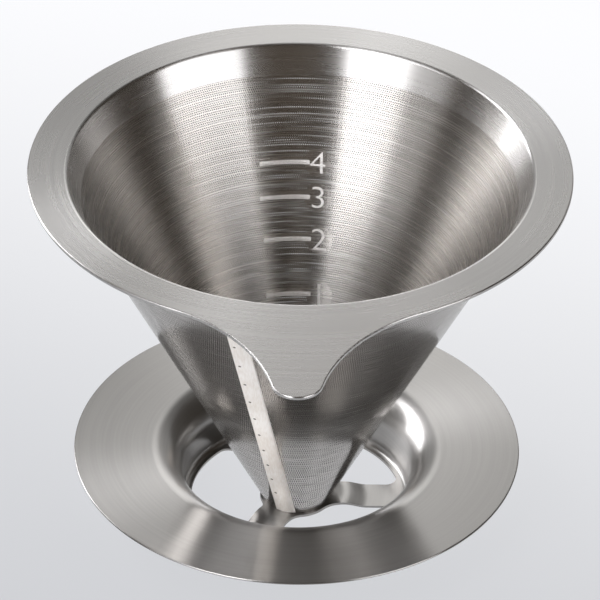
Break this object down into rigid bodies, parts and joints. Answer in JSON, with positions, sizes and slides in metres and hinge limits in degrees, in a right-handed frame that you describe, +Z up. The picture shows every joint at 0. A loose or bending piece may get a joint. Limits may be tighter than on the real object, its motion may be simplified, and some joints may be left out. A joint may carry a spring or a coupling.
{
  "type": "pour over coffee dripper",
  "caption": "Stainless steel pour-over coffee dripper: two-layer mesh cone in a flanged collar with a flat handle tab, on a saucer that stands on a carafe.",
  "frame": {"origin": "on the cone's axis, at the underside of the saucer's hub, which is the lowest face of the dripper", "axes": "+Z up along the cone's axis towards the mouth; the handle tab points to -Y; +X to the right when the tab faces the viewer; one arm of the saucer points to +X"},
  "size_m": [0.132, 0.159, 0.0996],
  "materials": {
    "collar_steel": "satin, turned round the axis, with a brighter rolled lip",
    "support_mesh": "etched sheet with staggered short upright slots, satin",
    "fine_mesh": "etched sheet with fine staggered round holes and a filled scale, satin",
    "cup_steel": "plain pressed sheet, satin",
    "saucer_steel": "satin, turned round the axis"
  },
  "bodies": {
    "root": {"rim_collar": "collar_steel", "outer_mesh_cone": "support_mesh", "inner_filter_cone": "fine_mesh", "tip_cup": "cup_steel", "base_saucer": "saucer_steel"}
  },
  "joints": []
}
